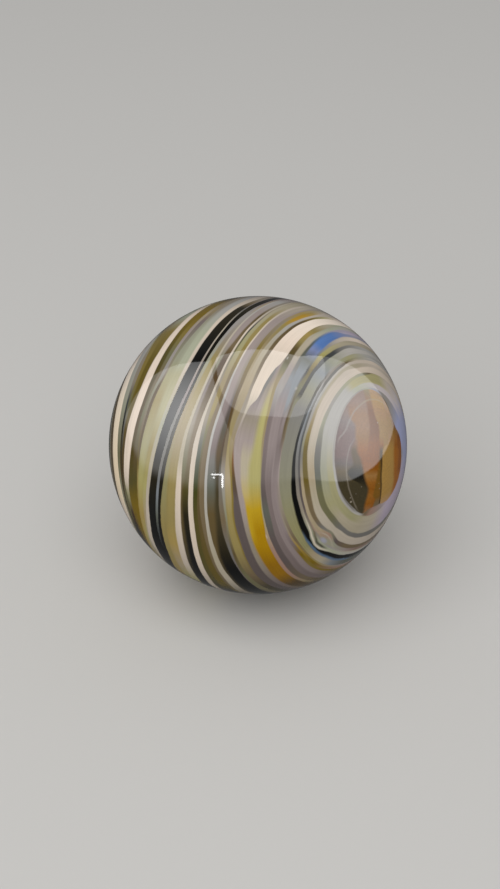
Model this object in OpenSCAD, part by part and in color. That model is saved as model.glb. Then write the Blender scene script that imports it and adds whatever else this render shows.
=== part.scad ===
// A handmade glass marble: one solid ball of opaque and clear glass. Its
// stripes are rings round an eye on one side, and they lean more and more the
// further they lie from the eye. The origin is the middle of the ball.

/* [Ball] */
// Diameter of the ball
ball_d = 25.4; // [12:0.1:60]

/* [Eye] */
// How far the eye looks round towards the front, from straight along +X
eye_turn = 31; // [0:1:90]
// How far the eye looks up from the level
eye_lift = 15.5; // [-20:0.5:60]
// Angle from the middle of the eye to its rim, seen from the middle of the ball
eye_rim = 27; // [10:1:35]

/* [Stripes] */
// Side of the eye from which the stripes are measured: 0 below it, 90 behind it
front_side = 240; // [180:1:300]
// Lean of the stripes that lie far from the eye
far_lean = 17; // [0:0.5:25]
// Angle from the eye at which the lean begins
lean_start = 45; // [30:1:60]
// Angle from the eye at which the lean is full
lean_full = 90; // [80:1:110]
// Side that the leaning stripes drop away to, measured from the front side
lean_side = 125; // [90:1:160]
// The stripes in order from the rim of the eye: width in degrees, and glass
stripes = [
    [0.8, "ice"],
    [4.7, "mint"],
    [1.2, "slate"],
    [4.3, "cream"],
    [1.7, "olive"],
    [3.9, "ink"],
    [4.3, "tan"],
    [0.9, "rust"],
    [5.7, "mauve"],
    [4.5, "yellow"],
    [5.3, "lilac"],
    [3.0, "mustard"],
    [2.7, "olive"],
    [3.5, "mauve"],
    [1.6, "cream"],
    [3.7, "mint"],
    [2.0, "cream"],
    [1.7, "olive"],
    [4.3, "khaki"],
    [6.0, "ink"],
    [2.0, "cream"],
    [7.0, "mint"],
    [1.0, "slate"],
    [4.5, "khaki"],
    [5.0, "cream"],
    [5.0, "olive"],
    [4.5, "slate"],
    [5.5, "cream"]
];

/* [Hidden] */
$fn = 180;

ball_r = ball_d / 2;

// The angle from the eye, along the front side, at which stripe i begins
function stripe_start(i) = i == 0 ? eye_rim : stripe_start(i - 1) + stripes[i - 1][0];

// The lean of an edge that starts at this angle from the eye
function lean(angle) =
    far_lean * min(1, max(0, (angle - lean_start) / (lean_full - lean_start)));

// How far from the middle of the ball an edge's plane lies, so that it passes
// through the front side at this angle from the eye
function edge_depth(angle) = ball_r * (cos(lean(angle)) * cos(angle)
    + sin(lean(angle)) * sin(angle) * cos(lean_side));

function glass(name) =
    name == "ice" ? [0.80, 0.86, 0.90] :
    name == "mint" ? [0.76, 0.80, 0.70] :
    name == "cream" ? [0.87, 0.82, 0.72] :
    name == "lilac" ? [0.74, 0.69, 0.68] :
    name == "mauve" ? [0.52, 0.46, 0.47] :
    name == "slate" ? [0.42, 0.44, 0.40] :
    name == "khaki" ? [0.66, 0.63, 0.44] :
    name == "tan" ? [0.60, 0.56, 0.42] :
    name == "mustard" ? [0.66, 0.55, 0.26] :
    name == "yellow" ? [0.80, 0.64, 0.16] :
    name == "rust" ? [0.50, 0.36, 0.22] :
    name == "amber" ? [0.52, 0.36, 0.16] :
    name == "olive" ? [0.26, 0.24, 0.12] :
    name == "ink" ? [0.06, 0.07, 0.06] :
    [0.22, 0.16, 0.13];

// All the space that lies further from the eye than the edge at this angle
module beyond(angle) {
    reach = 2 * ball_d;
    rotate([0, lean(angle), -lean_side])
        translate([-reach / 2, -reach / 2, edge_depth(angle) - reach])
            cube(reach);
}

// The glass of the ball between two edges
module band(from_angle, to_angle, colour) {
    color(colour)
        difference() {
            intersection() {
                sphere(d = ball_d);
                beyond(from_angle);
            }
            beyond(to_angle);
        }
}

module marble() {
    last = len(stripes);
    rotate([0, 90 - eye_lift, -eye_turn])
        rotate([0, 0, front_side])
            union() {
                // the eye, a window of amber glass
                color(glass("amber"))
                    difference() {
                        sphere(d = ball_d);
                        beyond(eye_rim);
                    }
                for (i = [0 : last - 1])
                    band(stripe_start(i), stripe_start(i + 1), glass(stripes[i][1]));
                // the far side, dark brown glass
                color(glass("brown"))
                    intersection() {
                        sphere(d = ball_d);
                        beyond(stripe_start(last));
                    }
            }
}

marble();
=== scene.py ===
import bpy
import numpy as np
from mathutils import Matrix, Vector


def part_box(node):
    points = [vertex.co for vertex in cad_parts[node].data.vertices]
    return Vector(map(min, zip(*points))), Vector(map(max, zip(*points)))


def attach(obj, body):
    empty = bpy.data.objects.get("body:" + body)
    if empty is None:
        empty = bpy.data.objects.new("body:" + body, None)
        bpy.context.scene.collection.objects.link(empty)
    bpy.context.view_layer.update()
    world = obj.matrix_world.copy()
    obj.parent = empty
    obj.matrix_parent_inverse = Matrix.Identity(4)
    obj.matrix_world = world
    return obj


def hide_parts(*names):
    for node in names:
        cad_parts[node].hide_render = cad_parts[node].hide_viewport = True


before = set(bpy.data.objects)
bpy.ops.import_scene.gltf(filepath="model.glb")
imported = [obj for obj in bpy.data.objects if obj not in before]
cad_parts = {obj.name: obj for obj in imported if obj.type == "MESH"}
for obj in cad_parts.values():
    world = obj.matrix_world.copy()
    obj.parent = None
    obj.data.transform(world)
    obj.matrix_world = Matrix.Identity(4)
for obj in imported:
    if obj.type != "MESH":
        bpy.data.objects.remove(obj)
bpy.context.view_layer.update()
lowCorner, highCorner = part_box("marble")
print("frame loaded:", len(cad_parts), "node")

# The ball, and the way its eye faces. Angles are in degrees.
ball = {
    "radius": min(abs(value) for value in (*lowCorner, *highCorner)),
    "rows": 200,  # of faces, from the eye to the far side
    "columns": 256,  # of faces, round the eye
    "eyeTurn": 31.0,  # round towards the front, from straight along +X
    "eyeLift": 15.5,  # up from the level
    "frontSide": 240.0,  # from which the stripes are counted: 0 is below the eye, 90 behind it
}

# Where the stripes run. A lane is a line that runs along the stripes, and its number is its
# usual angle from the eye. Each row gives the lane's real angle from the eye at these sides:
# side 0 faces the front, 90 the top, -90 the foot and 180 the back of the eye.
laneSides = [-180, -120, -80, -60, -40, -20, 0, 20, 40, 60, 80, 120, 180]
lanes = {
    0: [0, 0, 0, 0, 0, 0, 0, 0, 0, 0, 0, 0, 0],
    27.8: [15.2, 18.6, 24.0, 25.8, 27.2, 27.7, 27.8, 27.7, 27.1, 26.0, 23.9, 18.6, 15.2],
    35.3: [30, 33.5, 35.1, 35.0, 36.0, 35.8, 35.3, 34.1, 32.6, 31.6, 31.0, 29.5, 30],
    39.9: [37, 38.5, 39.5, 39.9, 40.6, 40.3, 39.9, 38.4, 37.1, 36.3, 35.2, 35.0, 37],
    42.1: [40, 41.5, 42.8, 43.7, 43.3, 43.1, 42.1, 40.5, 39.4, 38.8, 38.0, 38.0, 40],
    43.3: [42, 45.0, 46.8, 47.0, 46.1, 45.2, 43.3, 41.2, 39.8, 39.2, 38.6, 39.0, 42],
    47.7: [47, 49.0, 50.3, 49.5, 50.2, 49.9, 47.7, 46.1, 45.6, 45.6, 45.0, 45.0, 47],
    54.1: [57, 60.0, 60.0, 58.3, 57.0, 55.6, 54.1, 53.8, 54.2, 54.6, 55.0, 55.5, 57],
    65.0: [65, 69.0, 70.3, 69.8, 67.6, 65.6, 65.0, 62.0, 61.0, 60.2, 58.9, 60.0, 65],
    72.7: [77, 82.0, 82.8, 80.9, 78.6, 75.6, 72.7, 69.8, 69.1, 68.5, 68.6, 71.0, 77],
    77.6: [84, 92.0, 93.6, 89.5, 84.5, 80.5, 77.6, 74.7, 73.4, 72.7, 72.6, 76.0, 84],
    84.2: [92, 102, 104, 98.7, 93.6, 88.0, 84.2, 79.6, 78.0, 77.2, 77.4, 82.0, 92],
    88.7: [98, 110, 112, 105, 100.6, 95.0, 88.7, 83.4, 80.7, 79.4, 78.8, 84.0, 98],
    95.1: [104, 115, 116.5, 110.6, 106.6, 101.5, 95.1, 89.5, 86.8, 85.5, 85.0, 91.0, 104],
    104.8: [112, 120, 122, 116, 111.8, 107.9, 104.8, 100.9, 98.0, 96.0, 95.0, 100, 112],
    109.6: [117, 124, 125, 120.5, 118, 114.2, 109.6, 105.2, 102.8, 101.7, 101.0, 106, 117],
    121.8: [130, 133, 131, 126, 122.8, 122.0, 121.8, 122.4, 123.5, 126, 129, 131, 130],
    127.6: [137, 140, 139, 133.5, 130, 128.0, 127.6, 128.3, 129.6, 132, 135.5, 138, 137],
    150: [155, 157, 156, 154, 152, 150.5, 150, 150.5, 151, 152, 154, 155, 155],
    180: [180, 180, 180, 180, 180, 180, 180, 180, 180, 180, 180, 180, 180],
}

# The glasses, as they look on a screen
glasses = {
    "ivory": (0.98, 0.92, 0.85),
    "butter": (0.99, 0.91, 0.78),
    "cream": (0.92, 0.85, 0.78),
    "milk": (0.84, 0.78, 0.71),
    "pearl": (0.77, 0.72, 0.66),
    "shell": (0.71, 0.67, 0.60),
    "frost": (0.73, 0.71, 0.68),
    "ice": (0.67, 0.66, 0.64),
    "mint": (0.66, 0.67, 0.58),
    "linen": (0.68, 0.64, 0.55),
    "straw": (0.68, 0.65, 0.47),
    "flax": (0.72, 0.65, 0.43),
    "reed": (0.63, 0.61, 0.46),
    "celadon": (0.60, 0.60, 0.52),
    "fog": (0.60, 0.58, 0.56),
    "sand": (0.65, 0.59, 0.48),
    "stone": (0.56, 0.52, 0.46),
    "tan": (0.57, 0.51, 0.38),
    "rose": (0.62, 0.50, 0.44),
    "lilac": (0.61, 0.56, 0.54),
    "thistle": (0.54, 0.49, 0.48),
    "mauve": (0.47, 0.42, 0.41),
    "fig": (0.43, 0.34, 0.33),
    "plum": (0.37, 0.33, 0.32),
    "steel": (0.50, 0.52, 0.54),
    "pewter": (0.45, 0.44, 0.42),
    "slate": (0.37, 0.38, 0.34),
    "graphite": (0.27, 0.28, 0.28),
    "sage": (0.53, 0.52, 0.43),
    "moss": (0.56, 0.54, 0.38),
    "lichen": (0.43, 0.42, 0.30),
    "forest": (0.23, 0.25, 0.08),
    "olive": (0.33, 0.30, 0.14),
    "bronze": (0.40, 0.34, 0.09),
    "ochre": (0.48, 0.39, 0.02),
    "mustard": (0.51, 0.44, 0.20),
    "khaki": (0.58, 0.52, 0.32),
    "honey": (0.65, 0.56, 0.32),
    "citron": (0.66, 0.63, 0.40),
    "lemon": (0.72, 0.59, 0.12),
    "saffron": (0.70, 0.55, 0.18),
    "yellow": (0.66, 0.50, 0.00),
    "gold": (0.57, 0.41, 0.00),
    "brass": (0.60, 0.45, 0.17),
    "orange": (0.62, 0.37, 0.05),
    "amber": (0.60, 0.38, 0.11),
    "sienna": (0.57, 0.34, 0.04),
    "ginger": (0.53, 0.30, 0.00),
    "chestnut": (0.46, 0.26, 0.02),
    "russet": (0.54, 0.38, 0.17),
    "toffee": (0.56, 0.41, 0.27),
    "nutmeg": (0.49, 0.34, 0.07),
    "rust": (0.46, 0.30, 0.10),
    "apricot": (0.63, 0.46, 0.25),
    "tawny": (0.68, 0.53, 0.27),
    "biscuit": (0.69, 0.55, 0.40),
    "caramel": (0.60, 0.50, 0.24),
    "peach": (0.65, 0.55, 0.48),
    "clay": (0.55, 0.45, 0.40),
    "cocoa": (0.49, 0.37, 0.29),
    "walnut": (0.28, 0.19, 0.06),
    "umber": (0.45, 0.39, 0.29),
    "brown": (0.37, 0.31, 0.19),
    "bark": (0.32, 0.24, 0.09),
    "coffee": (0.26, 0.23, 0.15),
    "tar": (0.15, 0.13, 0.07),
    "ink": (0.08, 0.08, 0.07),
    "pitch": (0.02, 0.02, 0.01),
    "opal": (0.81, 0.77, 0.77),
    "lavender": (0.73, 0.68, 0.75),
    "iris": (0.65, 0.67, 0.81),
    "haze": (0.62, 0.62, 0.68),
    "denim": (0.36, 0.46, 0.57),
    "sky": (0.50, 0.54, 0.68),
    "blue": (0.35, 0.49, 0.72),
}

# The stripes in order from the eye: the lane where each begins, the width of its blend with
# the one before, and its glasses. A lane that changes along the stripe is given as (side, lane),
# and each glass as (glass, side), or as (glass, side, side) where it stays pure between two.
stripes = [
    ([(-180, 24.8), (-165, 26.5), (-151, 27.8), (-130, 28.2), (-115, 28), (-105, 26.8), (-95, 24.8),
      (-84, 24.8), (-78, 25.6), (-73, 27.6), (-66, 27.3), (-60, 26.9), (-45, 27), (-25, 27.4),
      (30, 27.5), (60, 27.7), (80, 27.3), (88, 26.5), (96, 25.1), (104, 22), (114, 19.4), (126, 18.8),
      (146, 21.4), (160, 23.2)], 0.6,
     [("haze", -180), ("lavender", -165, -115), ("lilac", -100), ("rose", -84), ("umber", -76),
      ("ice", -70), ("fog", -60), ("ice", -25), ("fog", 0, 60), ("mint", 70), ("haze", 80),
      ("fog", 92, 104), ("haze", 118), ("iris", 132, 165)]),
    (28.3, 0.5,
     [("iris", -180), ("lavender", -150, -115), ("shell", -95), ("linen", -80), ("reed", -65, -20),
      ("ice", 10, 50), ("mint", 60), ("frost", 75), ("opal", 90, 115), ("iris", 140)]),
    (30.6, 0.8,
     [("iris", -180), ("lavender", -150, -115), ("shell", -95), ("linen", -80, -55), ("reed", -40),
      ("celadon", -15), ("ice", 15, 48), ("straw", 58, 94), ("pearl", 106), ("opal", 125),
      ("iris", 145)]),
    ([(-95, 33.3), (-75, 33.3), (-60, 33.1), (-30, 33.1), (0, 32.9), (18, 33.6), (30, 33.5), (65, 34.1),
      (80, 34.2), (90, 34.8)], 0.5,
     [("pewter", -95, -65), ("lichen", -48, -30), ("slate", -16), ("pewter", 0), ("celadon", 18),
      ("fog", 32), ("celadon", 48), ("reed", 60), ("celadon", 74), ("umber", 84), ("linen", 95)]),
    ([(-95, 34.7), (-68, 34.5), (-58, 35), (10, 35.2), (30, 35), (45, 35.4), (60, 35.4), (75, 35.3),
      (90, 34.9)], 0.4,
     [("pearl", -95), ("shell", -60, -45), ("linen", -30), ("sand", -15), ("shell", 2),
      ("pearl", 20, 60), ("milk", 75, 95)]),
    ([(-95, 37.9), (-80, 37.7), (-75, 37.6), (-72, 37.7), (-67, 37.3), (-61, 36.9), (-54, 37.6),
      (-46, 38), (-30, 37.5), (-12, 37.8), (5, 38.1), (30, 38.5), (60, 38.6), (75, 37.7)], 0.6,
     [("umber", -95, -80), ("plum", -70), ("sage", -61), ("pewter", -52), ("umber", -44, -32),
      ("bronze", -16, 0), ("mustard", 8), ("tan", 16), ("linen", 30, 75), ("pearl", 95)]),
    ([(-95, 39.6), (-76, 39.7), (-71, 39.3), (-66, 38.4), (-61, 37.8), (-55, 38.5), (-48, 39.4),
      (-40, 39.5), (0, 39.7), (20, 39.5), (70, 39.7), (95, 39.3)], 0.6,
     [("clay", -95), ("lilac", -84), ("celadon", -70), ("rose", -61), ("sand", -52, -22),
      ("pewter", -5), ("sage", 3), ("fog", 15), ("ice", 32), ("frost", 45), ("pearl", 75),
      ("milk", 95)]),
    ([(-95, 40.7), (0, 40.5), (60, 40.3), (70, 40.7)], 0.25,
     [("shell", -95), ("fog", -70), ("stone", -48), ("plum", -34), ("graphite", 5), ("pewter", 30, 58),
      ("brown", 66), ("linen", 76), ("ice", 95)]),
    (41.2, 0.25,
     [("frost", -95), ("mint", -75), ("celadon", -48), ("stone", -34), ("pewter", -10), ("steel", 20),
      ("fog", 40), ("stone", 62), ("moss", 70), ("frost", 95)]),
    ([(-95, 42), (-78, 42.05), (-70, 42.2), (-62, 42.5), (-55, 42.4), (-48, 42.1), (5, 42.1),
      (16, 41.8), (60, 41.7)], 0.25,
     [("pitch", -95, 8), ("graphite", 16), ("coffee", 36), ("pewter", 44), ("fog", 52), ("celadon", 60),
      ("reed", 72), ("ice", 95)]),
    ([(-95, 42.8), (-60, 43), (-20, 43.1), (0, 43), (35, 43), (45, 42.8), (60, 43.1), (78, 43.6)], 0.4,
     [("slate", -95), ("steel", -84), ("linen", -74), ("sand", -66), ("moss", -58, -44), ("sage", -22),
      ("pewter", 20), ("sage", 32), ("steel", 46), ("celadon", 58), ("frost", 76, 95)]),
    ([(-95, 45.8), (-64, 45.9), (-45, 46.1), (-25, 46.7), (0, 47.2), (20, 47.2), (27, 46.1), (40, 45.9),
      (56, 45.4), (66, 45.3), (75, 45.5), (95, 44.9)], 0.3,
     [("lilac", -95), ("khaki", -72), ("umber", -50), ("stone", -30), ("lilac", -10), ("umber", 4),
      ("lichen", 24), ("tar", 28), ("graphite", 65), ("pewter", 70), ("ice", 95)]),
    ([(-95, 46.9), (-72, 46.8), (-60, 47.2), (-50, 47.3), (0, 47.5), (22, 47.8), (30, 47.2), (45, 46.7),
      (60, 46.5), (75, 46.4), (95, 46.2)], 0.4,
     [("rose", -95), ("ochre", -72), ("caramel", -55), ("stone", -42), ("thistle", -14), ("mauve", -4),
      ("brown", 8), ("bark", 20), ("lichen", 32), ("bronze", 42), ("mustard", 48), ("citron", 58),
      ("linen", 75, 95)]),
    ([(-95, 48.3), (-56, 48.1), (-40, 48), (-20, 47.8), (0, 48.3), (30, 48.4), (42, 47.7), (60, 47.7),
      (78, 47.8)], 0.4,
     [("ochre", -95), ("mustard", -70), ("ochre", -60), ("mauve", -52), ("thistle", -42, -20),
      ("mauve", 0), ("thistle", 12), ("pewter", 22, 32), ("ink", 42), ("slate", 48), ("steel", 56),
      ("fog", 66), ("pearl", 78), ("cream", 95)]),
    ([(-95, 49.1), (-60, 49.1), (-30, 49.2), (0, 49.4), (30, 48.7), (46, 48.2), (60, 48.3), (74, 48.9),
      (95, 49.3)], 0.5,
     [("umber", -95), ("thistle", -80, -8), ("mauve", 14), ("steel", 22, 40), ("slate", 48),
      ("sky", 56), ("blue", 62, 74), ("sky", 84), ("haze", 95)]),
    ([(-95, 50.6), (-50, 50.5), (-25, 50.1), (0, 49.8), (30, 50.1), (45, 50.6), (60, 50.9), (76, 51.2),
      (88, 50.3)], 0.5,
     [("mauve", -95, -16), ("thistle", 0, 20), ("steel", 34), ("pewter", 41), ("slate", 49, 58),
      ("denim", 66), ("haze", 76), ("lavender", 95)]),
    ([(-95, 52.3), (-50, 52.3), (-32, 51.8), (-10, 52.6), (20, 52.5), (33, 51.4), (45, 51.5),
      (60, 51.5), (76, 51.6), (90, 51.8)], 0.5,
     [("brown", -95), ("umber", -82), ("plum", -60, -44), ("slate", -30), ("plum", -22),
      ("mauve", 0, 14), ("fog", 26), ("lilac", 38), ("linen", 50), ("shell", 60), ("mint", 78),
      ("frost", 95)]),
    ([(-95, 53.7), (-46, 54.1), (-10, 54.1), (25, 53.8), (38, 53), (50, 53), (58, 53.1), (75, 52.7),
      (95, 53.1)], 0.4,
     [("brown", -95), ("tan", -84), ("rose", -72, -50), ("sand", -38), ("moss", -16), ("tan", 2),
      ("khaki", 14), ("tan", 30), ("lichen", 38), ("olive", 41), ("brown", 50), ("khaki", 56),
      ("honey", 62), ("khaki", 68), ("linen", 78), ("mint", 88)]),
    ([(-95, 55.7), (-80, 55.1), (-60, 55.3), (-45, 55.4), (-36, 54.7), (-15, 54.4), (2, 54.8),
      (15, 54.9), (35, 55.2)], 0.5,
     [("bark", -95, -80), ("gold", -68, -58), ("yellow", -46, -38), ("lemon", -28), ("citron", -16, 16),
      ("sand", 26), ("tan", 36), ("cream", 95)]),
    ([(-95, 59), (-24, 59), (-10, 58.8), (0, 57.6), (15, 57.2), (24, 56.4), (34, 55.4)], 2.2,
     [("bark", -95, -80), ("gold", -68, -58), ("yellow", -46), ("lemon", -38, -26), ("flax", -20),
      ("linen", -12, -5), ("lilac", 1), ("stone", 10), ("lilac", 16), ("stone", 24), ("thistle", 36)]),
    ([(-95, 60.2), (-60, 59.9), (-40, 60.5), (-25, 60.7), (-16, 61.6), (0, 61.4), (15, 59.4),
      (24, 58.4), (34, 57)], 1,
     [("umber", -95), ("mauve", -75), ("stone", -54, -40), ("lilac", -25, 2), ("stone", 10),
      ("thistle", 16), ("pewter", 24, 36)]),
    ([(-95, 61.8), (-60, 62), (-45, 62), (-30, 62.5), (-18, 63.4), (0, 64.3)], 0.6,
     [("plum", -95, -22), ("bark", -14), ("rust", -6), ("stone", 2, 10)]),
    ([(-180, 66.5), (-8, 66.3), (0, 64.7), (5, 63.8), (11, 63.2), (15, 62.8), (19, 60.7), (22, 60),
      (26, 59.7), (31, 58.8), (35, 57.7), (38, 56.2), (42, 55.5), (50, 54.9), (70, 54.9), (80, 54),
      (95, 53.5)], 0.4,
     [("lilac", 5), ("shell", 14), ("milk", 22, 40), ("cream", 52), ("ivory", 70, 95)]),
    ([(-95, 65), (-60, 65), (-40, 65.1), (-30, 65.4), (-20, 65), (0, 64.6), (12, 64.1), (25, 64.6),
      (45, 64.4), (60, 64.3), (75, 64.3), (84, 63), (95, 61.8)], 0.4,
     [("coffee", -95, -74), ("umber", -62), ("mustard", -45, -12), ("tan", 0), ("stone", 10, 22),
      ("umber", 34), ("brown", 60, 68), ("mustard", 76), ("straw", 84), ("cream", 95)]),
    ([(-95, 65.8), (-60, 65.5), (-45, 65.4), (-30, 65.8), (-15, 65.4), (0, 66), (22, 65.8), (45, 65.9),
      (60, 65.7), (95, 65.7)], 0.5,
     [("coffee", -95, -76), ("umber", -62), ("khaki", -44, -28), ("sand", -14), ("khaki", 0),
      ("tan", 14), ("sand", 26), ("linen", 42), ("ice", 62), ("pearl", 78, 95)]),
    ([(-95, 67), (-75, 66.8), (-40, 67.4), (-20, 67.2), (0, 66.8), (12, 68), (34, 67.7), (50, 67.2),
      (75, 66.7), (95, 67.4)], 0.4,
     [("umber", -95), ("lichen", -62), ("brown", -46), ("sage", -28), ("fog", -14), ("umber", -4),
      ("brown", 10), ("sand", 22), ("tan", 46), ("khaki", 58), ("saffron", 66, 74), ("honey", 80),
      ("pearl", 90)]),
    ([(-95, 68.2), (-75, 68.4), (-60, 68.1), (-44, 68.1), (-30, 67.8), (-10, 68.3), (0, 68), (8, 68.1),
      (15, 68.4), (20, 68.6), (40, 68.3), (60, 68.3), (95, 68.6)], 0.4,
     [("plum", -95), ("mauve", -62), ("pewter", -44), ("umber", -30), ("pewter", -14), ("coffee", -7),
      ("walnut", 0), ("bark", 14), ("umber", 24), ("mustard", 40), ("stone", 60), ("honey", 75),
      ("linen", 90)]),
    ([(-95, 68.6), (-60, 68.3), (-44, 68.8), (-28, 69.1), (-10, 68.9), (5, 68.6), (20, 69.8),
      (60, 69.6), (95, 69.6)], 0.4,
     [("pitch", -95, -56), ("tar", -45), ("coffee", -28, -12), ("bark", -4), ("coffee", 6),
      ("plum", 16), ("stone", 26), ("lilac", 60, 95)]),
    ([(-95, 71.6), (-50, 71.7), (-30, 70.4), (-12, 70.1), (-4, 70.5), (2, 70.4), (14, 70.4), (24, 70.6),
      (75, 70.2)], 1.2,
     [("coffee", -95, -60), ("brown", -44, -28), ("slate", -16), ("pewter", -7), ("mauve", -2),
      ("thistle", 12), ("lilac", 28, 60), ("shell", 80, 95)]),
    ([(-95, 72.6), (-70, 72.3), (-45, 72.3), (-20, 72.5), (20, 72.65), (40, 72.45), (60, 72.3),
      (95, 72)], 0.3,
     [("umber", -95), ("stone", -76), ("shell", -62), ("linen", -48), ("ice", -15, 25), ("milk", 45),
      ("pearl", 65, 80), ("linen", 95)]),
    ([(-95, 74.4), (-70, 73.9), (-50, 73.8), (-30, 73.4), (-10, 73.5), (15, 73.5), (30, 73.2), (48, 73),
      (95, 73.2)], 0.3,
     [("olive", -95), ("bronze", -76), ("umber", -64, 24), ("mustard", 34), ("khaki", 44, 60),
      ("linen", 72, 95)]),
    ([(-95, 74.8), (-60, 74.5), (-45, 74.5), (-15, 75.5), (0, 75.2), (14, 74.8), (34, 74.5), (48, 74.8),
      (95, 74.6)], 0.6,
     [("pitch", -95), ("tar", -76), ("bronze", -66), ("brown", -30, -12), ("lichen", 2), ("khaki", 12),
      ("tan", 24), ("reed", 42), ("linen", 70, 95)]),
    ([(-95, 76.2), (-30, 76.2), (0, 76), (12, 76.3), (40, 76.4), (95, 76.4)], 0.4,
     [("pitch", -95), ("tar", -76), ("olive", -62, -30), ("forest", -15), ("slate", -2),
      ("stone", 8, 24), ("lichen", 38), ("graphite", 50), ("stone", 62), ("linen", 74), ("sand", 95)]),
    ([(-95, 77.8), (-60, 77.5), (-30, 77.8), (-12, 77.8), (0, 77.4), (10, 77.6), (20, 77.4),
      (30, 77.15), (60, 77.1)], 0.3,
     [("bronze", -95), ("milk", -76), ("pearl", -64), ("milk", -50, -15), ("pearl", 0), ("shell", 15),
      ("pearl", 34), ("milk", 48), ("shell", 62, 76), ("sand", 95)]),
    ([(-95, 79.2), (-60, 79.2), (-45, 79.3), (-15, 79.5), (-5, 79.4), (8, 78.85), (20, 78.35),
      (34, 78.05), (95, 78)], 0.3,
     [("pitch", -95, -58), ("ink", -44), ("tar", -28), ("olive", -16), ("umber", -6, 8), ("bark", 18),
      ("walnut", 32), ("umber", 40), ("brown", 60), ("stone", 72), ("fog", 95)]),
    ([(-95, 81.4), (-40, 81), (-20, 81.7), (-10, 81), (0, 80.9), (15, 81.3), (30, 81.2), (36, 80.9),
      (44, 79.9), (60, 79.4), (95, 79.4)], 1.2,
     [("pitch", -95, -60), ("coffee", -48), ("brown", -28, -18), ("lichen", -9), ("stone", 6),
      ("mauve", 20), ("sage", 32), ("lilac", 42, 62), ("ice", 76), ("lilac", 84), ("mauve", 95)]),
    ([(-95, 82.5), (-60, 82.1), (-20, 82.3), (-12, 82.5), (0, 82.7), (40, 82.8), (60, 82.9)], 0.5,
     [("umber", -95), ("straw", -66), ("pearl", -54), ("milk", -16), ("linen", -6, 14),
      ("shell", 28, 48), ("ice", 64), ("frost", 74), ("thistle", 82), ("mauve", 95)]),
    ([(-95, 84.7), (-60, 84.4), (-40, 84.1), (-16, 84.3), (0, 84), (40, 83.9), (95, 84)], 0.5,
     [("khaki", -95), ("citron", -66), ("sand", -54), ("honey", -42), ("khaki", -30, -12), ("tan", 0),
      ("khaki", 24, 32), ("stone", 42), ("fog", 58), ("sand", 68), ("mauve", 84, 95)]),
    ([(-95, 87), (-60, 86.8), (-30, 86.8), (0, 87), (30, 86.7), (48, 86.4), (60, 85.6)], 0.9,
     [("khaki", -95), ("honey", -62), ("khaki", -48, -32), ("moss", -16), ("tan", 6, 18),
      ("celadon", 30), ("fog", 46, 60), ("thistle", 70), ("mauve", 95)]),
    ([(-95, 91.4), (-60, 90.2), (-52, 89.2), (-45, 88.6), (-40, 88.5), (-28, 88.6), (-15, 88.2),
      (0, 88.2), (30, 88.4), (50, 88.3), (62, 87.8), (72, 87.2), (90, 87.8)], 0.3,
     [("pitch", -95), ("ink", -30), ("tar", 0), ("pitch", 50), ("tar", 62), ("ink", 72, 84),
      ("plum", 95)]),
    ([(-180, 90.3), (-34, 89.9), (-20, 89.6), (-12, 89.7), (20, 89.6), (30, 89.8), (45, 90.2),
      (55, 90.4), (65, 90.6), (75, 90.6)], 0.25,
     [("pitch", -46), ("graphite", -36), ("slate", -30), ("steel", -20), ("pewter", -10, 8),
      ("thistle", 18), ("shell", 46), ("pewter", 60), ("thistle", 72)]),
    ([(-95, 90.7), (-34, 91), (-20, 90.7), (-12, 90.9), (0, 91), (10, 90.9), (20, 90.6), (32, 90.6),
      (48, 90.85), (60, 91.15), (75, 91)], 0.25,
     [("pitch", -95, -38), ("ink", -28), ("tar", -12), ("pitch", -6, 28), ("ink", 36), ("tar", 54, 62),
      ("umber", 68), ("stone", 74), ("mauve", 95)]),
    ([(-95, 96), (-58, 96.8), (-45, 96.5), (-34, 95), (-24, 94.6), (-14, 94.2), (0, 94.6), (16, 94.9),
      (32, 94.8), (50, 94.7), (62, 94.2), (72, 93.4), (90, 93.2)], 0.5,
     [("khaki", -95), ("shell", -60), ("pearl", -44, -30), ("shell", -18), ("linen", -6),
      ("celadon", 6), ("linen", 18), ("pearl", 27), ("milk", 48, 56), ("pearl", 70), ("lilac", 95)]),
    ([(-95, 100.3), (-44, 100.3), (-34, 98.4), (-22, 96.8), (-12, 96.4), (16, 96.3), (30, 96.2),
      (60, 96.4)], 0.7,
     [("honey", -95), ("khaki", -56), ("shell", -42), ("sand", -30), ("citron", -18), ("khaki", -4),
      ("reed", 12, 24), ("mint", 30, 44), ("ice", 58, 70), ("mauve", 95)]),
    ([(-95, 102.2), (-50, 102.2), (-36, 100.3), (-20, 99.4), (0, 98.8), (22, 99.6), (32, 99.2),
      (60, 99.4)], 1.6,
     [("honey", -95), ("shell", -52), ("citron", -42), ("honey", -32), ("citron", -16), ("reed", -2),
      ("khaki", 14), ("reed", 24), ("celadon", 32, 46), ("stone", 60, 76), ("mauve", 95)]),
    ([(-95, 103.8), (-16, 103.4), (-2, 103.1), (12, 102.8), (22, 102.4), (34, 101.8), (50, 100.8),
      (62, 101)], 0.5,
     [("honey", -95, -38), ("khaki", -14), ("brown", -6), ("bark", 4, 20), ("stone", 27), ("sage", 34),
      ("mauve", 50), ("tan", 58), ("stone", 72), ("mauve", 95)]),
    ([(-95, 104.8), (-14, 104.4), (-2, 104.2), (14, 104.2), (26, 103.1), (34, 103), (50, 102.8),
      (72, 102.6)], 0.4,
     [("honey", -95, -38), ("mustard", -16), ("bronze", -6), ("umber", 6), ("sage", 18), ("fog", 28),
      ("lilac", 44), ("sand", 56), ("bark", 76), ("mauve", 95)]),
    ([(-95, 106.7), (-50, 106.2), (-38, 105.1), (-24, 104.7), (-10, 104.6), (4, 105.3), (16, 105.3),
      (26, 104.6), (40, 104.3), (75, 104.4)], 0.5,
     [("bark", -95), ("bronze", -54), ("ochre", -38, -28), ("olive", -16), ("brown", -6), ("lichen", 8),
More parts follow.
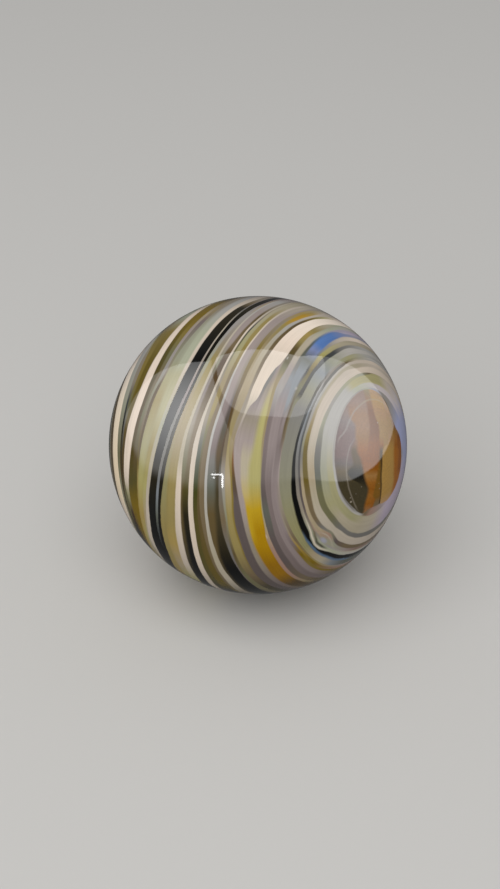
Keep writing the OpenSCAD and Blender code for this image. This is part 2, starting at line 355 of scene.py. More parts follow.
      ("umber", 24), ("lichen", 34), ("mustard", 44), ("ochre", 56, 66), ("ink", 76), ("coffee", 95)]),
    ([(-95, 106.8), (-40, 107.2), (-24, 107), (0, 107), (16, 106.9), (30, 106.5), (45, 106.8),
      (75, 107)], 1.2,
     [("bark", -95), ("tar", -54), ("bark", -44), ("ochre", -28), ("olive", -18), ("bark", 10),
      ("olive", 34), ("bronze", 44), ("ochre", 54, 66), ("bronze", 76), ("coffee", 95)]),
    ([(-95, 108.8), (-40, 108.4), (-30, 108.7), (-20, 109.3), (0, 109.1), (40, 109.2), (60, 109),
      (75, 109.4)], 0.5,
     [("ink", -95, -44), ("walnut", -32), ("reed", -24), ("milk", -18), ("cream", -10, 60),
      ("shell", 72), ("stone", 82)]),
    ([(-95, 110.4), (-30, 110.4), (-26, 111.6), (-20, 113.5), (-12, 114.3), (0, 114.1), (10, 113.3),
      (20, 112.5), (30, 112), (40, 111.6), (60, 111), (80, 110.8)], 0.6,
     [("pitch", -95, -44), ("olive", -36), ("lichen", -26), ("bark", -14), ("brown", -2),
      ("bronze", 8, 32), ("mustard", 48), ("mint", 58), ("celadon", 66), ("slate", 80)]),
    ([(-95, 113.4), (-20, 116), (0, 116.2), (14, 115.4), (30, 114.6), (50, 114.4), (62, 114.2)], 1.2,
     [("pitch", -95), ("coffee", -44), ("tar", -30, -18), ("coffee", -6), ("pewter", 4), ("lichen", 14),
      ("mustard", 26, 48), ("tan", 56), ("forest", 66), ("ink", 80)]),
    ([(-95, 116.8), (-30, 116.8), (-12, 116.9), (0, 117), (12, 117.1), (26, 116.4), (34, 116.6),
      (45, 117.1), (56, 116.8)], 0.5,
     [("olive", -95), ("tan", -38), ("brown", -28), ("bark", -12), ("coffee", -4), ("ink", 6),
      ("graphite", 15), ("stone", 24, 36), ("reed", 46), ("tar", 56), ("ink", 70)]),
    ([(-95, 118.8), (-30, 118.4), (-12, 118.5), (0, 118.4), (14, 118.2), (30, 118.5), (45, 117.9),
      (60, 118.2)], 0.7,
     [("mustard", -95), ("celadon", -34), ("sage", -22), ("lichen", -8), ("sage", 4), ("celadon", 12),
      ("ice", 40), ("frost", 50), ("olive", 62), ("tar", 80)]),
    ([(-95, 121.4), (-30, 121), (-10, 121.6), (0, 121.6), (14, 121.2), (60, 121.2)], 0.6,
     [("linen", -95), ("ivory", -40), ("butter", -28, -14), ("ivory", 34), ("milk", 44), ("shell", 60),
      ("stone", 80)]),
    # the far side, in more of the same glasses
    ([(-150, 127.6), (-60, 127.4), (0, 127.8), (40, 128.2), (120, 127.8)], 0.5,
     [("umber", -150), ("bark", -80, 20), ("walnut", 80), ("brown", 130)]),
    ([(-140, 130.4), (-50, 129.6), (40, 130.8), (130, 129.8)], 0.6,
     [("mustard", -150), ("bronze", -90), ("olive", -20), ("bark", 60), ("khaki", 130)]),
    ([(-160, 132.6), (-70, 132), (20, 133), (110, 132.2)], 0.3,
     [("linen", -150), ("milk", -60), ("shell", 0), ("cream", 60), ("pearl", 140)]),
    ([(-160, 133.8), (-70, 133.6), (20, 133.8), (110, 133.4)], 0.6,
     [("slate", -150), ("tar", -80), ("ink", 0, 70), ("coffee", 130)]),
    ([(-130, 137.6), (-40, 136.4), (50, 138), (140, 137)], 0.5,
     [("celadon", -150), ("sage", -70), ("mint", 0), ("fog", 80), ("steel", 140)]),
    ([(-150, 139.6), (-60, 139), (30, 140.2), (120, 139.2)], 0.3,
     [("cream", -150), ("ivory", -60), ("milk", 40), ("cream", 120)]),
    ([(-150, 141.4), (-60, 141.8), (30, 141), (120, 141.6)], 1,
     [("khaki", -150), ("honey", -80), ("mustard", 0), ("tan", 70), ("sand", 130)]),
    ([(-120, 145.4), (-30, 144.6), (60, 146), (150, 145)], 0.5,
     [("mauve", -150), ("plum", -60), ("brown", 30), ("mauve", 120)]),
    ([(-120, 147.4), (-30, 146.8), (60, 147.8), (150, 147)], 0.3,
     [("haze", -150), ("ice", -70), ("frost", 20), ("lavender", 110)]),
    ([(-120, 148.6), (-30, 148.8), (60, 148.4), (150, 148.8)], 0.9,
     [("lilac", -150), ("thistle", -70), ("fog", 20), ("thistle", 110)]),
    ([(-160, 153.6), (-60, 152.4), (40, 154), (130, 152.8)], 0.5,
     [("ochre", -150), ("gold", -60), ("mustard", 30), ("bronze", 120)]),
    ([(-160, 156), (-60, 155.4), (40, 156.4), (130, 155.6)], 0.3,
     [("pearl", -150), ("shell", -60), ("milk", 30), ("cream", 120)]),
    ([(-160, 157.6), (-60, 158), (40, 157.4), (130, 158.2)], 0.8,
     [("bark", -150), ("coffee", -70), ("olive", 30), ("brown", 120)]),
    ([(-130, 164), (-40, 162.4), (50, 164.6), (140, 162.8)], 0.8,
     [("sage", -150), ("mauve", -60), ("stone", 30), ("celadon", 120)]),
    ([(-130, 168), (-40, 166.6), (50, 168.8), (140, 167)], 0.6,
     [("straw", -150), ("linen", -60), ("khaki", 30), ("linen", 120)]),
    ([(-120, 171.4), (-20, 174), (70, 170.6), (150, 172.6)], 1.5,
     [("umber", -150), ("bark", -60), ("brown", 30), ("bark", 120)]),
]

# Fine threads of glass, and two of painted light at the eye's rim: the lane along the middle, the
# half-width in lanes, and the glass with how much of it shows, as (side, glass, share).
threads = [
    # two thin arcs inside the eye, and the dark corner at its top
    ([(5, 26.5), (20, 23.9), (40, 23.6), (60, 23.2), (90, 22.8)], 0.7,
     [(2, "fog", 0), (12, "fog", 0.5), (40, "fog", 0.5), (58, "sand", 0.6), (84, "sand", 0.5),
      (104, "sand", 0)]),
    ([(-74, 27.3), (-60, 26), (-45, 24.3), (-30, 23.3), (-15, 22.5), (0, 21.5), (15, 19.6)], 0.6,
     [(-72, "umber", 0), (-60, "stone", 0.5), (-30, "stone", 0.5), (0, "fog", 0.4), (18, "fog", 0)]),
    ([(78, 26.2), (90, 26), (100, 23.6), (108, 20.4)], 1.3,
     [(80, "umber", 0), (90, "umber", 0.7), (102, "brown", 0.8), (112, "brown", 0)]),
    # a painted highlight along the eye's rim, and a painted shadow just inside it
    ([(-75, 28.1), (60, 27.8)], 0.45,
     [(-78, "frost", 0), (-66, "frost", 0.7), (-40, "ice", 0.4), (20, "ice", 0.3), (60, "ice", 0)]),
    # painted shadow: a thin dark line just inside the eye's rim
    ([(-75, 27.3), (60, 27)], 0.5,
     [(-68, "tar", 0), (-54, "tar", 0.5), (-20, "plum", 0.4), (40, "plum", 0.3), (70, "plum", 0)]),
    # beside the black stripe: a bright line, a dark one under the swirl and a blue edge outside
    ([(-80, 41.8), (-68, 42.1), (-62, 42.35), (-56, 42.15), (-48, 41.7), (-38, 41.5)], 0.28,
     [(-76, "pearl", 0), (-66, "cream", 0.6), (-46, "cream", 0.6), (-34, "pearl", 0)]),
    ([(-70, 41.6), (-64, 41.8), (-60, 41.9), (-56, 41.6), (-50, 41.1), (-44, 41)], 0.5,
     [(-70, "tar", 0), (-65, "tar", 0.9), (-58, "tar", 0.8), (-52, "brown", 0.7), (-42, "brown", 0)]),
    ([(-95, 42.9), (-60, 42.85), (-48, 43)], 0.3,
     [(-100, "denim", 0), (-92, "denim", 0.9), (-56, "denim", 0.8), (-46, "denim", 0)]),
    # the pale ring over the swirl
    ([(-76, 41), (-70, 40.2), (-66, 39.4), (-62, 39), (-58, 39.2), (-54, 40), (-50, 40.7),
      (-44, 40.8)], 0.5,
     [(-76, "shell", 0), (-68, "shell", 0.6), (-58, "shell", 0.8), (-52, "peach", 0.8),
      (-40, "peach", 0)]),
]

# Small round marks: the side and lane of the middle, the half-sizes in degrees of side and in
# lanes, the width of the blend as a share of those, the glass and how much of it shows.
spots = [
    (-63, 40.3, 7.5, 1.2, 0.7, "celadon", 0.8),
    (-61.5, 40.6, 4.5, 0.8, 0.8, "haze", 0.9),
    (43, 54.3, 1.5, 0.5, 1, "frost", 0.8),
    (30, 48.5, 1.5, 0.5, 1, "frost", 0.5),
    (-42, 55, 2, 0.4, 1, "milk", 0.5),
]

# The bubbles in the eye: place, height and radius, as below, and how bright
bubbles = [
    (-16.4, -20, 0.7, 0.7),
    (-17.2, -18.2, 0.4, 0.5),
    (-13, -13.5, 0.4, 0.3),
    (-15, -16.5, 0.35, 0.3),
    (-1.8, -15.8, 0.5, 0.4),
    (-3.2, -13, 0.35, 0.3),
    (-6.6, 11.6, 0.6, 0.6),
]

# The eye: sheets of clear coloured glass that stand across it, and a painted shadow. Each is given
# by its edge on the left, as (height, place), the width of its blend with the one before, and its
# glasses from the foot up, with heights for sides. Places and heights are in lanes, from the middle of
# the eye.
eyeReach = 60  # from the foot to the top, and from side to side
eyeSheets = [
    # the smoky glass at the left, and a painted shadow over it, where it is darkest
    ([(-28, -30), (28, -30)], 0.5,
     [("coffee", -27, -12), ("brown", -8), ("plum", -5), ("fig", -2, 6), ("mauve", 11),
      ("clay", 17, 26)]),
    # painted shadow: the dark patch over the smoky glass
    ([(-17, -11), (-13, -13), (-10, -19.5), (-8, -21), (-5, -19), (0, -20.4), (4, -18.6),
      (27, -17)], 1.8,
     [("coffee", -15), ("tar", -11), ("ink", -9), ("tar", -7), ("bark", -4, 0), ("cocoa", 3, 8)]),
    # the orange sheet on a narrow stem, and its darker core
    ([(-26, -7.4), (-22, -8.4), (-18, -8.6), (-15, -8.9), (-12, -10.8), (-9, -12.6), (-6, -13.8),
      (-3, -15.4), (0, -17.4), (3, -17.6), (6, -18.4), (9, -18.4), (12, -20.5), (16, -21), (22, -18),
      (27, -14)], 2.2,
     [("toffee", -26), ("sienna", -22), ("amber", -18), ("sienna", -15), ("amber", -12),
      ("apricot", -9), ("sienna", -6.5), ("ginger", -3), ("sienna", 1), ("russet", 5),
      ("toffee", 9, 14), ("clay", 19, 26)]),
    ([(-9, -4), (-6, -8), (-3, -11.6), (2, -12), (8, -11.4), (20, -11.8)], 1.8,
     [("sienna", -7), ("ginger", -3, 3), ("chestnut", 7, 16), ("toffee", 21), ("tan", 25)]),
    # the brown wedge, with tan glass over it, and the dark line down its right side
    ([(-26, -2.4), (-21, -2.6), (-18, -5.2), (-9, -5.4), (-3, -5.2), (0, -5.2), (3, -5.6), (10, -5.8),
      (14, -7.6), (20, -8.4)], 1.6,
     [("umber", -24), ("nutmeg", -20, -4), ("bark", -1.5), ("walnut", 0.5), ("sienna", 3),
      ("brass", 6, 12), ("apricot", 17), ("tawny", 22), ("biscuit", 26)]),
    ([(-27, 3), (-25, 2.2), (-20, 0.4), (-15, -1.4), (-10, -3.2), (-5, -4), (0, -4.6), (3, -3)], 0.9,
     [("walnut", -27), ("bark", -18, -8), ("walnut", -1, 0.5), ("brass", 2.5, 12), ("apricot", 17),
      ("tawny", 22), ("biscuit", 26)]),
    # the tan glass
    ([(-27, 4), (-25, 3.3), (-20, 1.5), (-15, -0.3), (-10, -2.2), (-5, -2.9), (0, -3.3), (2, -2.4),
      (4, 0), (12, 1), (20, 0)], 0.9,
     [("biscuit", -26), ("tawny", -21, 3), ("apricot", 8), ("brass", 12, 16), ("apricot", 19),
      ("biscuit", 23), ("peach", 26)]),
    # amber glass at the right, darker at the edge and dimmer at the top
    ([(-22, 14.5), (-16, 14), (-12, 12), (-6, 10.6), (0, 9.6), (5, 9), (9, 9), (13, 7.5), (18, 6)], 5.5,
     [("apricot", -24), ("orange", -19, 3), ("sienna", 6), ("amber", 9), ("russet", 13), ("cocoa", 16),
      ("clay", 20)]),
    ([(-16, 24), (-12, 18.5), (0, 19), (6, 15), (10, 14), (14, 14.5), (18, 16)], 4,
     [("orange", -14), ("ginger", -10, 8), ("chestnut", 11), ("clay", 14)]),
]

# The grain of the glass. Widths are in lanes, and lengths are shares of a turn round the eye.
grain = {
    "strength": 0.16,  # how much lighter and darker the streaks run
    "width": 0.7,
    "length": 0.11,
    "eyeStrength": 0.3,  # the same for the specks in the eye
    "push": 0.35,  # how far the edges of the stripes stray across, in lanes
    "slip": 2.0,  # and along, in degrees
    "pushWidth": 8,
    "pushLength": 0.05,
}
gloss = {"roughness": 0.04, "refraction": 1.5}


def radians(angle):
    return np.deg2rad(angle)


def ballDirections():
    # three directions at right angles: along the eye, to its front side, and to the side a
    # quarter of a turn on, at its top
    turn, lift, front = (radians(ball[key]) for key in ("eyeTurn", "eyeLift", "frontSide"))
    eye = np.array([np.cos(lift) * np.cos(turn), -np.cos(lift) * np.sin(turn), np.sin(lift)])
    foot = np.array([np.sin(lift) * np.cos(turn), -np.sin(lift) * np.sin(turn), -np.cos(lift)])
    across = np.array([np.sin(turn), np.cos(turn), 0.0])
    frontSide = np.cos(front) * foot + np.sin(front) * across
    return eye, frontSide, np.cross(frontSide, eye)


def laneAngle(sides):
    # The angle of every lane at these sides: a smooth cubic through the given angles, whose
    # slope at each is that of the line from the one before to the one after.
    at = np.array(laneSides, float)
    angles = np.array(list(lanes.values()), float)
    before = np.column_stack([angles[:, -2], angles[:, :-1]])
    after = np.column_stack([angles[:, 1:], angles[:, 1]])
    atBefore = np.append(at[-2] - 360, at[:-1])
    atAfter = np.append(at[1:], at[1] + 360)
    slopes = (after - before) / (atAfter - atBefore)
    k = np.clip(np.searchsorted(at, sides, side="right") - 1, 0, len(at) - 2)
    span = at[k + 1] - at[k]
    t = (sides - at[k]) / span
    return (angles[:, k] * (2 * t**3 - 3 * t**2 + 1) + slopes[:, k] * span * (t**3 - 2 * t**2 + t)
            + angles[:, k + 1] * (3 * t**2 - 2 * t**3) + slopes[:, k + 1] * span * (t**3 - t**2))


def laneNumber(angles, sides):
    # The lane at each angle from the eye (rows) and side (columns): the numbers of the lanes,
    # shared out evenly between one lane's angle and the next one's.
    numbers = np.array(list(lanes), float)
    edges = laneAngle(sides)
    lane = np.zeros((len(angles), len(sides)))
    for k in range(len(numbers) - 1):
        share = (angles[:, None] - edges[k]) / (edges[k + 1] - edges[k])
        lane += (numbers[k + 1] - numbers[k]) * np.clip(share, 0, 1)
    return lane


def makeBall():
    # A closed ball round the origin. A point is radius * (cos(angle) * eye + sin(angle) *
    # (cos(side) * front + sin(side) * top)), with the angle from the eye and the side.
    eye, front, top = ballDirections()
    rows, columns = ball["rows"], ball["columns"]
    angles = np.linspace(0, 180, rows + 1)
    sides = np.linspace(-180, 180, columns + 1)
    angle, side = np.meshgrid(radians(angles[1:-1]), radians(sides[:-1]), indexing="ij")
    ring = np.cos(side)[..., None] * front + np.sin(side)[..., None] * top
    middle = np.cos(angle)[..., None] * eye + np.sin(angle)[..., None] * ring
    points = ball["radius"] * np.vstack([eye, middle.reshape(-1, 3), -eye])

    def pointAt(row, column):
        inner = 1 + (row - 1) * columns + column % columns
        return np.where(row == 0, 0, np.where(row == rows, len(points) - 1, inner))

    row, column = np.meshgrid(np.arange(1, rows - 1), np.arange(columns), indexing="ij")
    row, column = row.ravel(), column.ravel()
    cornerRows = np.stack([row, row, row + 1, row + 1], 1)
    cornerColumns = np.stack([column, column + 1, column + 1, column], 1)
    wedge = np.arange(columns)
    capRows = np.array([[0, 1, 1]] * columns)
    capColumns = np.stack([wedge, wedge + 1, wedge], 1)
    endRows = np.array([[rows, rows - 1, rows - 1]] * columns)
    endColumns = np.stack([wedge, wedge, wedge + 1], 1)
    quads = pointAt(cornerRows, cornerColumns)
    caps = np.vstack([pointAt(capRows, capColumns), pointAt(endRows, endColumns)])
    mesh = bpy.data.meshes.new("marble_glass")
    mesh.from_pydata(points.tolist(), [], quads.tolist() + caps.tolist())

    # the stripe map: u goes round the eye with the side, and v is the lane. A wedge meets the
    # pole at the middle of its own width.
    lane = laneNumber(angles, sides)
    allRows = np.concatenate([cornerRows.ravel(), capRows.ravel(), endRows.ravel()])
    allColumns = np.concatenate([cornerColumns.ravel(), capColumns.ravel(), endColumns.ravel()])
    u = (allColumns + 0.5 * np.isin(allRows, (0, rows))) / columns
    v = lane[allRows, allColumns] / 180
    stripeMap = mesh.uv_layers.new(name="stripes")
    stripeMap.data.foreach_set("uv", np.column_stack([u, v]).ravel())
    mesh.shade_smooth()
    piece = bpy.data.objects.new("marble_glass", mesh)
    bpy.context.scene.collection.objects.link(piece)
    return piece


def screenColour(name):
    # a screen's colour as light: ((value + 0.055) / 1.055)^2.4
    return [((value + 0.055) / 1.055) ** 2.4 for value in glasses[name]] + [1.0]


def glassStops(row):
    # one (side, colour) for each side that a glass is given at
    return [(side, screenColour(name)) for name, *sides in row for side in sides]


def addNode(tree, kind, settings=None, sockets=None):
    node = tree.nodes.new("ShaderNode" + kind)
    for key, value in (settings or {}).items():
        setattr(node, key, value)
    for key, value in (sockets or {}).items():
        if isinstance(value, bpy.types.NodeSocket):
            tree.links.new(value, node.inputs[key])
        else:
            node.inputs[key].default_value = value
    return node


def calculate(tree, operation, *values):
    sockets = dict(enumerate(values))
    return addNode(tree, "Math", {"operation": operation}, sockets).outputs[0]


def mixColours(tree, share, first, second):
    return addNode(tree, "Mix", {"data_type": "RGBA"}, {0: share, 6: first, 7: second}).outputs[2]


def meanValue(first, second):
    return (first + second) / 2


def meanColour(first, second):
    return [(a + b) / 2 for a, b in zip(first, second)]


def roundEye(stops, mean):
    # places the stops by their share of a turn, and adds one at the back, where the ends meet
    if stops[0][0] == -180:
        stops = [*stops, (180, stops[0][1])]
    else:
        back = mean(stops[0][1], stops[-1][1])
        stops = [(-180, back), *stops, (180, back)]
    return [(side / 360 + 0.5, value) for side, value in stops]


def curveAlong(tree, along, stops):
    # a smooth curve through (place, value) stops, all of them from 0 to 1
    node = addNode(tree, "FloatCurve", None, {1: along})
    points = node.mapping.curves[0].points
    for place in stops[1:-1]:
        points.new(*place)
    points[0].location, points[len(points) - 1].location = stops[0], stops[-1]
    for point in points:
        point.handle_type = "AUTO_CLAMPED"
    node.mapping.update()
    return node.outputs[0]


def laneCurve(tree, along, lanesAlong):
    stops = roundEye([(side, lane / 180) for side, lane in lanesAlong], meanValue)
    return curveAlong(tree, along, stops)


def glassAlong(tree, along, stops):
    # the glass by its place along the stripe, from 0 to 1
    ramp = addNode(tree, "ValToRGB", None, {0: along})
    elements = ramp.color_ramp.elements
    for place, colour in stops[1:-1]:
        elements.new(place).color = colour
    elements[0].position, elements[0].color = stops[0]
    last = elements[len(elements) - 1]
    last.position, last.color = stops[-1]
    return ramp


def beyondEdge(tree, across, edge, softness):
    # 0 before the edge and 1 past it, with a smooth step between
    settings = {"interpolation_type": "SMOOTHSTEP", "clamp": False}
    if isinstance(edge, (int, float)):
        sockets = {"Value": across, 1: edge - softness / 2, 2: edge + softness / 2}
    else:
        past = calculate(tree, "SUBTRACT", across, edge)
        sockets = {"Value": past, 1: -softness / 2, 2: softness / 2}
    return addNode(tree, "MapRange", settings, sockets).outputs[0]


def noiseAt(tree, vector, detail, roughness):
    sockets = {"Vector": vector, "Scale": 1.0, "Detail": detail, "Roughness": roughness}
    return addNode(tree, "TexNoise", None, sockets).outputs[0]


def lanePoint(tree, lane, side, length, width):
    # a point whose noise runs along the lanes and closes on itself round the eye
    reach = 1 / (2 * np.pi * length)
    x = calculate(tree, "MULTIPLY", calculate(tree, "COSINE", side), reach)
    y = calculate(tree, "MULTIPLY", calculate(tree, "SINE", side), reach)
    z = calculate(tree, "DIVIDE", lane, width)
    return addNode(tree, "CombineXYZ", None, {0: x, 1: y, 2: z}).outputs[0]


def fadeOut(tree, away, start, end):
    # 1 up to the start and 0 from the end on
    settings = {"interpolation_type": "SMOOTHSTEP", "clamp": False}
    return addNode(tree, "MapRange", settings, {"Value": away, 1: end, 2: start}).outputs[0]


def paintStripes(tree, across, along, colour):
    for edge, softness, glass in stripes:
        edge = edge / 180 if isinstance(edge, (int, float)) else laneCurve(tree, along, edge)
        layer = glassAlong(tree, along, roundEye(glassStops(glass), meanColour)).outputs[0]
        colour = mixColours(tree, beyondEdge(tree, across, edge, softness / 180), colour, layer)
    return colour


def paintThreads(tree, across, along, colour):
    for middle, width, glass in threads:
        past = calculate(tree, "SUBTRACT", across, laneCurve(tree, along, middle))
        away = calculate(tree, "ABSOLUTE", past)
        stops = [(side, [*screenColour(name)[:3], share]) for side, name, share in glass]
        ramp = glassAlong(tree, along, roundEye(stops, meanColour))
        share = calculate(tree, "MULTIPLY", fadeOut(tree, away, 0, width / 180), ramp.outputs[1])
        colour = mixColours(tree, share, colour, ramp.outputs[0])
    return colour


def paintSpot(tree, along, across, spot, colour, glass):
    # an ellipse: ((along - its middle) / its size)^2 + ((across - its middle) / its size)^2 < 1
    middle, other, length, width, blend, share = spot
    x = calculate(tree, "DIVIDE", calculate(tree, "SUBTRACT", along, middle), length)
    y = calculate(tree, "DIVIDE", calculate(tree, "SUBTRACT", across, other), width)
    squareX = calculate(tree, "MULTIPLY", x, x)
    squareY = calculate(tree, "MULTIPLY", y, y)
    away = calculate(tree, "SQRT", calculate(tree, "ADD", squareX, squareY))
    share = calculate(tree, "MULTIPLY", fadeOut(tree, away, 1 - blend, 1), share)
    return mixColours(tree, share, colour, glass)


def addGrain(tree, noise, strength, colour):
    # brightens and darkens by the noise: 1 + strength * (2 * noise - 1)
    factor = calculate(tree, "MULTIPLY_ADD", noise, 2 * strength, 1 - strength)
    return addNode(tree, "HueSaturation", None, {"Value": factor, "Color": colour}).outputs[0]


def paintEye(tree, place, height, speckle):
    # place runs from left to right and height from the foot up, both from the middle of the eye
    across = calculate(tree, "MULTIPLY_ADD", place, 1 / eyeReach, 0.5)
    along = calculate(tree, "MULTIPLY_ADD", height, 1 / eyeReach, 0.5)
    colour = screenColour("tar")
    for edge, softness, glass in eyeSheets:
        stops = [(level / eyeReach + 0.5, clear) for level, clear in glassStops(glass)]
        layer = glassAlong(tree, along, stops).outputs[0]
        edge = [(level / eyeReach + 0.5, left / eyeReach + 0.5) for level, left in edge]
        left = curveAlong(tree, along, [(0, edge[0][1]), *edge, (1, edge[-1][1])])
        colour = mixColours(tree, beyondEdge(tree, across, left, softness / eyeReach), colour, layer)
    colour = addGrain(tree, speckle, grain["eyeStrength"], colour)
    for middle, level, radius, share in bubbles:
        spot = (middle, level, radius, radius, 1, share)
        colour = paintSpot(tree, place, height, spot, colour, screenColour("pearl"))
    return colour


def stripedGlass():
    material = bpy.data.materials.new("striped_glass")
    material.use_nodes = True
    tree = material.node_tree
    tree.nodes.clear()
    stripeMap = addNode(tree, "UVMap", {"uv_map": "stripes"})
    split = addNode(tree, "SeparateXYZ", None, {0: stripeMap.outputs[0]})
    along, across = split.outputs[0], split.outputs[1]
    lane = calculate(tree, "MULTIPLY", across, 180.0)
    degrees = calculate(tree, "MULTIPLY_ADD", along, 360.0, -180.0)
    side = calculate(tree, "RADIANS", degrees)
    left = calculate(tree, "MULTIPLY", calculate(tree, "COSINE", side), lane)
    place = calculate(tree, "MULTIPLY", left, -1.0)
    height = calculate(tree, "MULTIPLY", calculate(tree, "SINE", side), lane)
    streakPoint = lanePoint(tree, lane, side, grain["length"], grain["width"])
    streaks = noiseAt(tree, streakPoint, detail=3, roughness=0.6)
    eyePoint = addNode(tree, "CombineXYZ", None, {0: place, 1: height}).outputs[0]
    speckle = noiseAt(tree, eyePoint, detail=3, roughness=0.7)
    pushPoint = lanePoint(tree, lane, side, grain["pushLength"], grain["pushWidth"])
    push = noiseAt(tree, pushPoint, detail=2, roughness=0.5)
    push = calculate(tree, "SUBTRACT", push, 0.5)
    across = calculate(tree, "MULTIPLY_ADD", push, 2 * grain["push"] / 180, across)
    along = calculate(tree, "MULTIPLY_ADD", push, 2 * grain["slip"] / 360, along)
    colour = paintEye(tree, place, height, speckle)
    colour = paintStripes(tree, across, along, colour)
    colour = paintThreads(tree, across, along, colour)
    for middle, level, length, width, blend, glass, share in spots:
        spot = (middle, level, length, width, blend, share)
        colour = paintSpot(tree, degrees, lane, spot, colour, screenColour(glass))
    colour = addGrain(tree, streaks, grain["strength"], colour)
    finish = {"Base Color": colour, "Roughness": gloss["roughness"], "IOR": gloss["refraction"]}
    shader = addNode(tree, "BsdfPrincipled", None, finish)
    addNode(tree, "OutputMaterial", None, {0: shader.outputs[0]})
    return material


marble = makeBall()
marble.data.materials.append(stripedGlass())
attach(marble, "root")
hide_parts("marble")
print("marble made:", len(marble.data.polygons), "faces")

# The floor under the marble
floor = {"size": 6.0, "colour": (0.60, 0.59, 0.57), "roughness": 0.9}


def makeFloor():
    half = floor["size"] / 2
    level = lowCorner.z
    mesh = bpy.data.meshes.new("studio_floor")
    flat = [(-half, -half), (half, -half), (half, half), (-half, half)]
    mesh.from_pydata([(x, y, level) for x, y in flat], [], [(0, 1, 2, 3)])
    material = bpy.data.materials.new("studio_floor")
    material.use_nodes = True
    shader = material.node_tree.nodes["Principled BSDF"]
    shader.inputs["Base Color"].default_value = [*floor["colour"], 1]
    shader.inputs["Roughness"].default_value = floor["roughness"]
    shader.inputs["Specular IOR Level"].default_value = 0.0
    mesh.materials.append(material)
    piece = bpy.data.objects.new("studio_floor", mesh)
    bpy.context.scene.collection.objects.link(piece)
    piece.visible_glossy = False


# The light: a soft lamp overhead, an even glow, and a cloth tent lit by lamps behind it. Only
# the gloss of the glass shows the tent. Turns are from the front, and lifts from the level.
light = {
    "lampSize": 0.6,
    "lampPlace": (-0.08, -0.26, 0.34),
    "lampPower": 1.9,
    "worldGlow": 0.42,
    "worldGloss": 0.1,
    "tentRadius": 1.6,
    "tentRows": 180,  # of faces, from overhead to its lower edge
    "tentColumns": 720,  # of faces, all round
    "tentGlow": 0.55,
    # the round-cornered panel in its roof, and the line where the cloth on the left ends: how far
    # they lie to the right and to the front, as shares of their height over the ball
    "panelMiddle": (0.23, -0.1),
    "panelReach": (0.73, 0.81),
    "panelRoundness": 3.1,
    "panelGlow": 2.2,
    "leftEnd": -0.565,
    # at the back the cloth hangs from two posts, of which the left one leans above its foot, and
    # the roof ends in a straight edge, given as the panel is
    "backPosts": (-126.5, 127.5),
    "postFoot": 14,
    "postLean": 0.17,  # degrees of turn for a degree of lift
    "roofEnd": -0.36,
    # the tent's lower edge all round, as (turn, lift, height over which it fades out)
    "tentEdge": [(-180, -13, 5), (-110, -13, 5), (-91, -18, 9), (-65, -13, 9), (-49, -12, 10),
                 (-13, -2, 12), (20, 2, 8), (31, 4, 3), (45, -2, 2), (57, -7, 1), (69, -11.5, 1),
                 (95, -15, 1), (180, -15, 1)],
    # the lamps behind the cloth: turn, lift, how far the glow spreads, and the glow
    "leftLamp": (-79, 32, 33, 5.3),
    "rightLamp": (85, 15, 36, 4.0),
    # a small bright lamp seen in the gloss: its bars, as turn and lift of both ends and the width
    "bars": [(-34.5, 6.6, -26.2, 8.6, 1.0), (-26.2, 8.6, -25.4, -1.2, 1.1),
             (-33, 4.6, -31.6, 4.9, 0.8)],
    "barRadius": 1.44,
    "barGlow": 22.0,
}


def makeLamp():
    data = bpy.data.lights.new("soft_lamp", "AREA")
    data.shape = "SQUARE"
    data.size = light["lampSize"]
    data.energy = light["lampPower"]
    lamp = bpy.data.objects.new("soft_lamp", data)
    lamp.location = light["lampPlace"]
    lamp.rotation_euler = (-lamp.location).to_track_quat("-Z", "Y").to_euler()
    lamp.visible_glossy = False
    bpy.context.scene.collection.objects.link(lamp)


def direction(turn, lift):
    return np.stack([np.sin(turn) * np.cos(lift), -np.cos(turn) * np.cos(lift), np.sin(lift)], -1)


def lampGlow(points, turn, lift, spread, glow):
    # falls off as exp(-(angle / spread)^2), with the angle between the lamp and the point
    away = np.arccos(np.clip(points @ direction(radians(turn), radians(lift)), -1, 1))
    return glow * np.exp(-((away / radians(spread)) ** 2))


def smoothStep(share):
    share = np.clip(share, 0, 1)
    return share * share * (3 - 2 * share)


def barCorners(turn, lift, lastTurn, lastLift, width):
    # a flat bar just inside the tent, with its corners half its width to each side of its line
    run, rise = lastTurn - turn, lastLift - lift
    aside = np.array([-rise, run]) * width / 2 / np.hypot(run, rise)
    ends = np.array([[turn, lift], [lastTurn, lastLift]])
    corners = np.vstack([ends + aside, (ends - aside)[::-1]])
    return light["barRadius"] * direction(radians(corners[:, 0]), radians(corners[:, 1]))


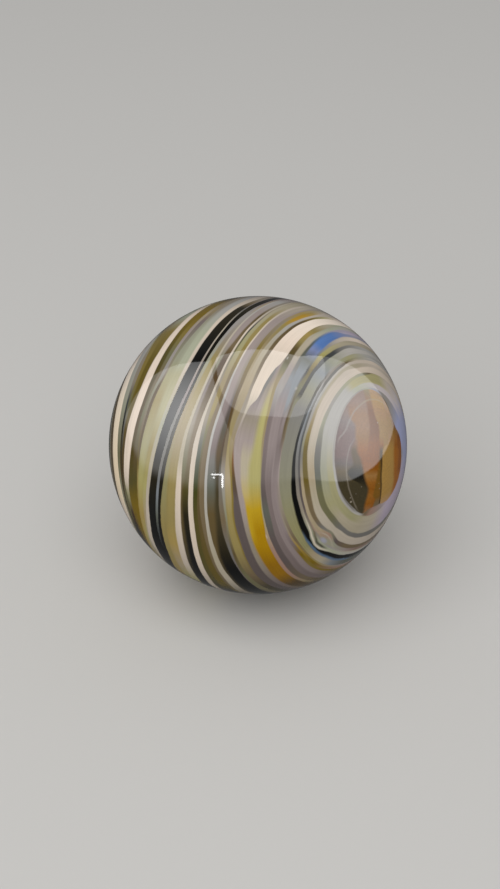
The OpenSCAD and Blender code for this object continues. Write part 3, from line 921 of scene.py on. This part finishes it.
def makeTent():
    # Part of a big ball round the marble, from overhead down to its edge: a point is
    # tentRadius * (sin(turn) * cos(lift), -cos(turn) * cos(lift), sin(lift)). The panel is where
    # |(right - middle) / reach|^roundness + |(front - middle) / reach|^roundness < 1.
    edge = np.array(light["tentEdge"], float)
    turns = np.linspace(-180, 180, light["tentColumns"] + 1)
    low = np.interp(turns, edge[:, 0], edge[:, 1])
    fade = np.interp(turns, edge[:, 0], edge[:, 2])
    steps = np.linspace(0, 1, light["tentRows"] + 1)[:, None]
    lifts = 90 + (low - 90) * steps
    points = direction(radians(turns + 0 * steps), radians(lifts)).reshape(-1, 3)
    x, y, z = points.T
    right, front = x / np.maximum(z, 0.001), -y / np.maximum(z, 0.001)
    (middleX, middleY), (reachX, reachY) = light["panelMiddle"], light["panelReach"]
    power = light["panelRoundness"]
    panel = abs((right - middleX) / reachX) ** power + abs((front - middleY) / reachY) ** power < 1
    glow = light["tentGlow"] + light["panelGlow"] * panel + lampGlow(points, *light["rightLamp"])
    glow = glow + (right < light["leftEnd"]) * lampGlow(points, *light["leftLamp"])
    turn = (turns + 0 * steps).ravel()
    leftPost, rightPost = light["backPosts"]
    leftPost = leftPost + light["postLean"] * np.maximum(lifts.ravel() - light["postFoot"], 0)
    opening = (front < light["roofEnd"]) & ((turn < leftPost) | (turn > rightPost))
    cloth = smoothStep((lifts - low) / fade).ravel() * ~opening
    glow = light["worldGloss"] + (glow - light["worldGloss"]) * cloth
    points = light["tentRadius"] * points
    row, column = np.meshgrid(np.arange(len(steps) - 1), np.arange(len(turns) - 1), indexing="ij")
    first = (row * len(turns) + column).ravel()
    faces = np.stack([first, first + 1, first + 1 + len(turns), first + len(turns)], 1)
    for bar in light["bars"]:
        faces = np.vstack([faces, len(points) + np.arange(4)])
        points = np.vstack([points, barCorners(*bar)])
        glow = np.append(glow, [light["barGlow"]] * 4)
    mesh = bpy.data.meshes.new("light_tent")
    mesh.from_pydata(points.tolist(), [], faces.tolist())
    glows = mesh.attributes.new("glow", "FLOAT", "POINT")
    glows.data.foreach_set("value", glow)
    material = bpy.data.materials.new("light_tent")
    material.use_nodes = True
    tree = material.node_tree
    tree.nodes.clear()
    attribute = addNode(tree, "Attribute", {"attribute_name": "glow"})
    shine = addNode(tree, "Emission", None, {"Strength": attribute.outputs["Fac"]})
    addNode(tree, "OutputMaterial", None, {0: shine.outputs[0]})
    material.cycles.emission_sampling = "NONE"
    mesh.materials.append(material)
    tent = bpy.data.objects.new("light_tent", mesh)
    bpy.context.scene.collection.objects.link(tent)
    for rays in ("camera", "diffuse", "transmission", "shadow"):
        setattr(tent, "visible_" + rays, False)


def makeWorld():
    world = bpy.data.worlds.new("studio")
    world.use_nodes = True
    tree = world.node_tree
    background = tree.nodes["Background"]
    background.inputs["Color"].default_value = (1, 1, 1, 1)
    path = addNode(tree, "LightPath")
    settings = {0: path.outputs["Is Glossy Ray"], 3: light["worldGlow"], 4: light["worldGloss"]}
    strength = addNode(tree, "MapRange", None, settings)
    tree.links.new(strength.outputs[0], background.inputs["Strength"])
    bpy.context.scene.world = world


makeFloor()
makeLamp()
makeTent()
makeWorld()
print("studio made")

# The camera. The angle is in degrees, and the sizes are in millimetres.
camera = {
    "elevation": 33.26,
    "distance": 11.417,  # in ball radii
    "lens": 68.7,
    "sensor": 36.0,
    "aside": -0.67,  # how far it stands to the right of the line to the marble's middle
    "above": 0.05,  # and above it
    "nearest": 10,  # what it still sees
    "furthest": 20000,
}


def makeCamera():
    data = bpy.data.cameras.new("camera")
    data.lens = camera["lens"]
    data.sensor_width = camera["sensor"]
    data.clip_start = camera["nearest"] / 1000
    data.clip_end = camera["furthest"] / 1000
    piece = bpy.data.objects.new("camera", data)
    lift = radians(camera["elevation"])
    distance = camera["distance"] * ball["radius"]
    above = camera["above"] / 1000
    piece.location = (camera["aside"] / 1000, above * np.sin(lift) - distance * np.cos(lift),
                      above * np.cos(lift) + distance * np.sin(lift))
    piece.rotation_euler = (np.pi / 2 - lift, 0, 0)
    bpy.context.scene.collection.objects.link(piece)
    bpy.context.scene.camera = piece


makeCamera()
bpy.context.scene.view_settings.view_transform = "Standard"
print("camera made")
